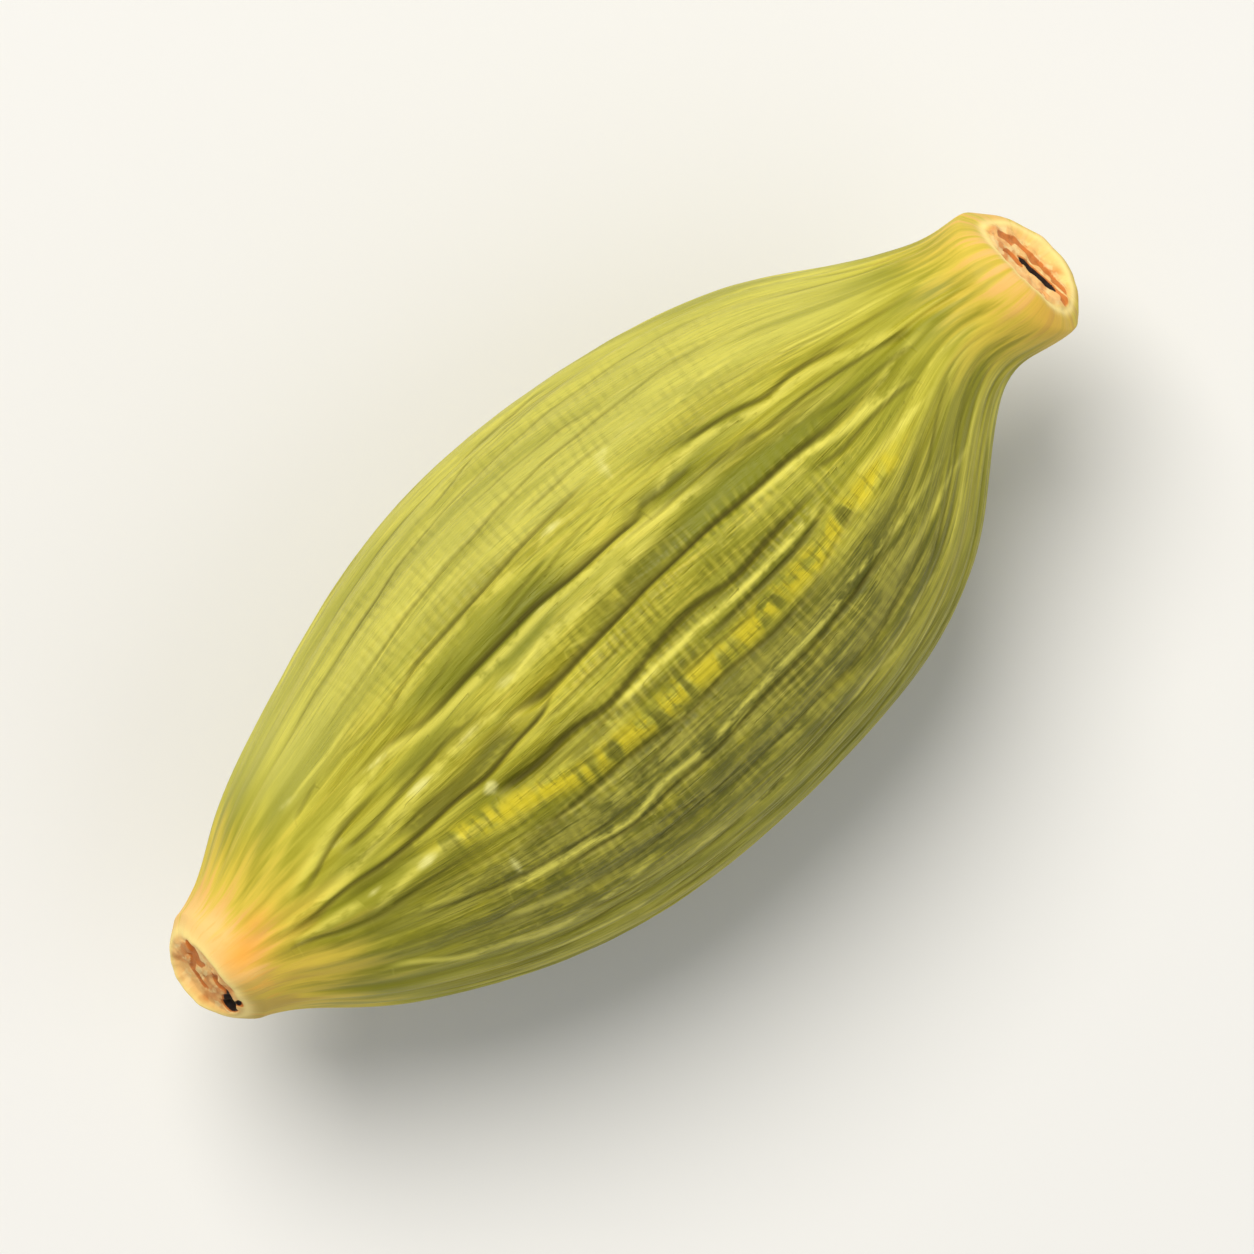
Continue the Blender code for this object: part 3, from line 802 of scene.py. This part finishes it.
topLayers = [
    # painted shade on the top's slopes, broken up in blocks
    ("shade", "blocks", (0.26, 0.44), 0.95, "leafDark"),
    # painted shade between the furrows on the top
    ("topBetweenShade", "broad", (0.35, 0.6), 1.0, "leaf"),
    ("wovenPatches", "rungs", (0.55, 0.10), 0.34, "leafDark"),
    ("wovenPatches", "rungs", (0.50, 0.95), 0.20, "straw"),
    # pale veins, partly painted highlight on the lit crests beside the furrows
    ("veins", "mottle", (0.32, 0.54), 1.0, "veinAndHighlight"),
    ("band", "dashes", (0.46, 0.36), 0.7, "leafDark"),
    ("bandBlocks", "mottle", (0.34, 0.50), 0.85, "bandYellow"),
    ("bandNicks", "mottle", (0.58, 0.44), 0.4, "leafDark"),
    # painted highlights on the ridges
    (None, "brokenRidgeHighlight", (0.18, 0.72), 0.8, "spot"),
    # painted shade along the furrows, as crisp dark lines
    ("lines", None, None, 0.92, "furrow"),
    (None, "reach", (0.76, 0.95), 0.85, "endYellow"),
]
stubLayers = [
    (None, "toEnd", (0.86, 0.93), 0.75, "cream"),
    # painted shade: a darker tan on the stubs' lower side
    ("shadedLowSide", None, None, 0.8, "tan"),
]
endLayers = [
    ("nearEnd", "mottle", (0.54, 0.68), 1.0, "orange"),
    ("blush", "fibre", (0.28, 0.46), 1.0, "orange"),
    ("rim", None, None, 1.0, "rim"),
]
floorLayers = [
    (None, "clumps", (0.52, 0.66), 0.7, "fleshDark"),
    (None, "crumbs", (0.52, 0.62), 0.7, "web"),
]
# brown in the scar's cavities and pits, and black painted shade in the darkest cavities
hollowLayers = [
    (None, "hollow", (0.10, 0.40), 0.9, "fleshDark"),
    (None, "hollow", (0.58, 0.80), 1.0, "hollow"),
]

skinFinish = {
    "roughness": 0.48,
    "fibreRoughness": (0.3, 0.7, 0.14),  # between which levels it is added, and how much
    "endRoughness": (0.8, 0.95, 0.15),
    "lineRoughness": 0.3,
    "specular": 0.3,
    "sheen": 0.12,
    "sheenRoughness": 0.4,
    "bump": 0.04,  # mm
    "rungBump": 0.4,  # the share of it on the cross marks
}


def paint(name):
    return tuple((c / 255) ** 2.2 for c in skinColours[name]) + (1.0,)


def newNode(tree, kind, **settings):
    made = tree.nodes.new("ShaderNode" + kind)
    for name, value in settings.items():
        setattr(made, name, value)
    return made


def put(tree, node, socket, value):  # a link, or a plain value
    target = node.inputs[socket]
    if isinstance(value, bpy.types.NodeSocket):
        tree.links.new(value, target)
    else:
        target.default_value = value


def markOf(tree, name, output="Fac"):
    return newNode(tree, "Attribute", attribute_name=name).outputs[output]


def streaks(tree, grain, alongWaves, acrossWaves, detail=3.0, shift=0.0):  # noise drawn out along the grain
    mapping = newNode(tree, "Mapping")
    put(tree, mapping, "Vector", grain)
    mapping.inputs["Location"].default_value = (shift, shift * 0.7, shift * 1.3)
    mapping.inputs["Scale"].default_value = (alongWaves, acrossWaves, acrossWaves)
    texture = newNode(tree, "TexNoise")
    put(tree, texture, "Vector", mapping.outputs["Vector"])
    texture.inputs["Scale"].default_value = 1.0
    texture.inputs["Detail"].default_value = detail
    texture.inputs["Roughness"].default_value = 0.6
    return texture.outputs["Fac"]


def lumps(tree, waves, detail, shift):  # by the place on the piece, drawn out upwards
    mapping = newNode(tree, "Mapping")
    put(tree, mapping, "Vector", newNode(tree, "TexCoord").outputs["Object"])
    mapping.inputs["Location"].default_value = (shift, shift, shift)
    mapping.inputs["Scale"].default_value = (waves / mm, waves / mm, 0.3 * waves / mm)
    texture = newNode(tree, "TexNoise")
    put(tree, texture, "Vector", mapping.outputs["Vector"])
    texture.inputs["Scale"].default_value = 1.0
    texture.inputs["Detail"].default_value = detail
    return texture.outputs["Fac"]


def ribbing(tree, grain, waves):  # uneven bands across the grain, so many to the mm
    mapping = newNode(tree, "Mapping")
    put(tree, mapping, "Vector", grain)
    mapping.inputs["Scale"].default_value = (1.0, 0.5, 0.5)
    texture = newNode(tree, "TexWave", wave_type="BANDS", bands_direction="X", wave_profile="SIN")
    put(tree, texture, "Vector", mapping.outputs["Vector"])
    texture.inputs["Scale"].default_value = waves * math.tau / 20
    texture.inputs["Distortion"].default_value = 3.5
    texture.inputs["Detail"].default_value = 1.0
    texture.inputs["Detail Scale"].default_value = 1.2
    return texture.outputs["Fac"]


def window(tree, value, low, high, most=1.0):  # 0 below low, most above high
    made = newNode(tree, "MapRange", interpolation_type="SMOOTHSTEP")
    put(tree, made, "Value", value)
    made.inputs["From Min"].default_value = low
    made.inputs["From Max"].default_value = high
    made.inputs["To Max"].default_value = most
    return made.outputs["Result"]


def maths(tree, operation, a, b):
    made = newNode(tree, "Math", operation=operation)
    put(tree, made, 0, a)
    put(tree, made, 1, b)
    return made.outputs["Value"]


def between(tree, share, first, second):  # goes over from the first value to the second
    made = newNode(tree, "Mix", data_type="FLOAT")
    put(tree, made, 0, share)
    put(tree, made, 2, first)
    put(tree, made, 3, second)
    return made.outputs[0]


def crispLines(tree, away, tone, reach):  # lines from their marks, sharp whatever the mesh
    size = newNode(tree, "VectorMath", operation="ABSOLUTE")
    put(tree, size, 0, markOf(tree, away, "Vector"))
    ramp = newNode(tree, "MapRange", data_type="FLOAT_VECTOR", interpolation_type="SMOOTHSTEP")
    put(tree, ramp, 6, size.outputs["Vector"])
    for socket, value in ((7, reach), (8, 0.0), (9, 0.0), (10, 1.0)):
        ramp.inputs[socket].default_value = (value, value, value)
    sets = newNode(tree, "VectorMath", operation="DOT_PRODUCT")
    put(tree, sets, 0, ramp.outputs["Vector"])
    put(tree, sets, 1, markOf(tree, tone, "Vector"))
    return maths(tree, "MINIMUM", sets.outputs["Value"], 1.0)


def over(tree, mask, under, colour):  # lays a colour over what is under it
    made = newNode(tree, "Mix", data_type="RGBA")
    put(tree, made, 0, mask)
    put(tree, made, 6, under)
    put(tree, made, 7, paint(colour) if isinstance(colour, str) else colour)
    return made.outputs[2]


def laid(tree, values, under, layers):
    for mask, pattern, levels, most, colour in layers:
        share = window(tree, values[pattern], *levels, most) if pattern else most
        share = maths(tree, "MULTIPLY", values[mask], share) if mask else share
        under = over(tree, share, under, colour)
    return under


def skinValues(tree):  # the masks and patterns that the layers keep to
    names = ("toEnd", "pale", "crest", "shade", "topBetweenShade", "band", "shadedLowSide", "blush", "rim", "hollow")
    values = {name: markOf(tree, name) for name in names}
    grain = markOf(tree, "grain", "Vector")
    values.update({name: streaks(tree, grain, *noise) for name, noise in skinNoise.items()})
    neck = window(tree, values["toEnd"], 0.50, 0.80)
    soft = between(tree, 0.4, values["soft"], 0.5)
    for name, atNeck in (("fibre", soft), ("thread", soft), ("hair", 0.5)):
        values[name] = between(tree, neck, values[name], atNeck)
    values["rungs"] = ribbing(tree, grain, 4.4)
    values["lines"] = crispLines(tree, "furrowAway", "furrowTone", 1.7)
    values["veins"] = crispLines(tree, "veinAway", "veinTone", 1.5)
    values["clumps"] = lumps(tree, 2.2, 3.0, 1.0)
    values["crumbs"] = lumps(tree, 5.0, 2.0, 2.0)

    band, woven = values["band"], markOf(tree, "woven")
    values["woven"] = woven
    values["wovenPatches"] = maths(tree, "MULTIPLY", woven, window(tree, values["mottle"], 0.42, 0.62))
    values["bandBlocks"] = maths(tree, "MULTIPLY", band, window(tree, values["dashes"], 0.40, 0.54))
    values["bandNicks"] = maths(tree, "MULTIPLY", band, window(tree, values["rungs"], 0.30, 0.05))
    brighter = maths(tree, "ADD", values["thread"], 0.4)
    values["brokenRidgeHighlight"] = maths(tree, "MULTIPLY", markOf(tree, "spot"), brighter)
    values["reach"] = maths(tree, "ADD", values["toEnd"], window(tree, values["fibre"], 0.40, 0.60, 0.10))
    values["nearEnd"] = window(tree, values["toEnd"], 0.86, 0.93, 0.4)
    return values


def podSkin():
    skin = bpy.data.materials.new("pod_skin_fine")
    skin.use_nodes = True
    tree = skin.node_tree
    shader = tree.nodes["Principled BSDF"]
    values = skinValues(tree)

    colour = laid(tree, values, paint("husk"), huskLayers)
    dullTone = laid(tree, values, paint("dull"), dullLayers)
    # the grey-green of the lower flank and the back, partly painted shade
    colour = over(tree, maths(tree, "MULTIPLY", markOf(tree, "dull"), 0.88), colour, dullTone)
    colour = laid(tree, values, colour, topLayers)
    stub = laid(tree, values, paint("peach"), stubLayers)
    colour = over(tree, window(tree, values["reach"], 0.90, 0.98, 0.95), colour, stub)
    colour = laid(tree, values, colour, endLayers)
    floor = laid(tree, values, paint("flesh"), floorLayers)
    colour = over(tree, markOf(tree, "scarFloor"), colour, floor)
    put(tree, shader, "Base Color", laid(tree, values, colour, hollowLayers))

    lines = values["lines"]
    fibreRough = window(tree, values["fibre"], *skinFinish["fibreRoughness"])
    lineRough = maths(tree, "MULTIPLY", lines, skinFinish["lineRoughness"])
    endRough = window(tree, values["toEnd"], *skinFinish["endRoughness"])
    rough = maths(tree, "ADD", maths(tree, "ADD", fibreRough, lineRough), endRough)
    put(tree, shader, "Roughness", maths(tree, "ADD", rough, skinFinish["roughness"]))
    shader.inputs["Specular IOR Level"].default_value = skinFinish["specular"]
    shader.inputs["Sheen Weight"].default_value = skinFinish["sheen"]
    shader.inputs["Sheen Roughness"].default_value = skinFinish["sheenRoughness"]
    shader.inputs["Sheen Tint"].default_value = paint("palest")

    rungs = maths(tree, "MULTIPLY", values["rungs"], values["woven"])
    rungs = maths(tree, "MULTIPLY", rungs, skinFinish["rungBump"])
    weave = maths(tree, "ADD", values["thread"], rungs)
    bump = newNode(tree, "Bump")
    bump.inputs["Strength"].default_value = 1.0
    bump.inputs["Distance"].default_value = skinFinish["bump"] * mm
    put(tree, bump, "Height", maths(tree, "SUBTRACT", weave, lines))
    put(tree, shader, "Normal", bump.outputs["Normal"])
    return skin


def makePod():
    pod = fineCopy()
    sculptPod(pod)
    pod.data.materials.clear()
    pod.data.materials.append(podSkin())
    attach(pod, "root")
    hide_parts(podShape["node"])
    print("pod: skin done")


studio = {
    "across": math.radians(40.4),  # the pod's slope in the picture
    "fieldWidth": 22.0 * mm,  # what the picture takes in
    "lens": 220.0,
    "floorSize": 1.2,  # metres
    "floorColour": (0.80, 0.79, 0.76, 1.0),
    "keyFrom": (-0.40, 0.80, 1.5),  # towards the picture's right and top, and up
    "keyPower": 1.20,  # watts
    "keySize": 0.24,
    "fillFrom": (0.9, -0.4, 0.8),
    "fillPower": 0.30,
    "fillSize": 0.40,
    "lampDistance": 0.35,
    "worldStrength": 0.32,
}


def addLamp(name, direction, size, power, colour, aim):
    bpy.ops.object.light_add(type="AREA", location=aim + direction.normalized() * studio["lampDistance"])
    lamp = bpy.context.object
    lamp.name = name
    lamp.data.shape = "DISK"
    lamp.data.size = size
    lamp.data.energy = power
    lamp.data.color = colour
    lamp.rotation_euler = direction.to_track_quat("Z", "Y").to_euler()


def setStudio():
    low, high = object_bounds()
    middle = (low + high) / 2
    turn = studio["across"]
    right = Vector((math.cos(turn), -math.sin(turn), 0))
    up = Vector((math.sin(turn), math.cos(turn), 0))

    bpy.ops.mesh.primitive_plane_add(size=studio["floorSize"])
    floor = bpy.context.object
    floor.name = "studio_floor"
    paper = bpy.data.materials.new("pale_paper")
    paper.use_nodes = True
    shader = paper.node_tree.nodes["Principled BSDF"]
    shader.inputs["Base Color"].default_value = studio["floorColour"]
    shader.inputs["Roughness"].default_value = 0.9
    floor.data.materials.append(paper)

    aims = (studio["keyFrom"], studio["fillFrom"])
    keyAim, fillAim = (right * aside + up * above + Vector((0, 0, lift)) for aside, above, lift in aims)
    addLamp("key", keyAim, studio["keySize"], studio["keyPower"], (1.0, 0.97, 0.92), middle)
    addLamp("fill", fillAim, studio["fillSize"], studio["fillPower"], (0.93, 0.96, 1.0), middle)
    world = bpy.data.worlds.new("studio")
    bpy.context.scene.world = world
    world.use_nodes = True
    world.node_tree.nodes["Background"].inputs["Color"].default_value = (0.95, 0.97, 1.0, 1.0)
    world.node_tree.nodes["Background"].inputs["Strength"].default_value = studio["worldStrength"]

    camera = bpy.data.cameras.new("camera")
    camera.lens = studio["lens"]
    camera.clip_start = 0.005
    away = studio["fieldWidth"] / 2 / math.tan(camera.angle / 2)
    eye = bpy.data.objects.new("camera", camera)
    bpy.context.scene.collection.objects.link(eye)
    eye.location = (middle.x, middle.y, high.z / 2 + away)
    eye.rotation_euler = (0, 0, -turn)
    bpy.context.scene.camera = eye
    bpy.context.scene.view_settings.view_transform = "Standard"
    print("studio: floor, lamps and camera set")


makePod()
setStudio()
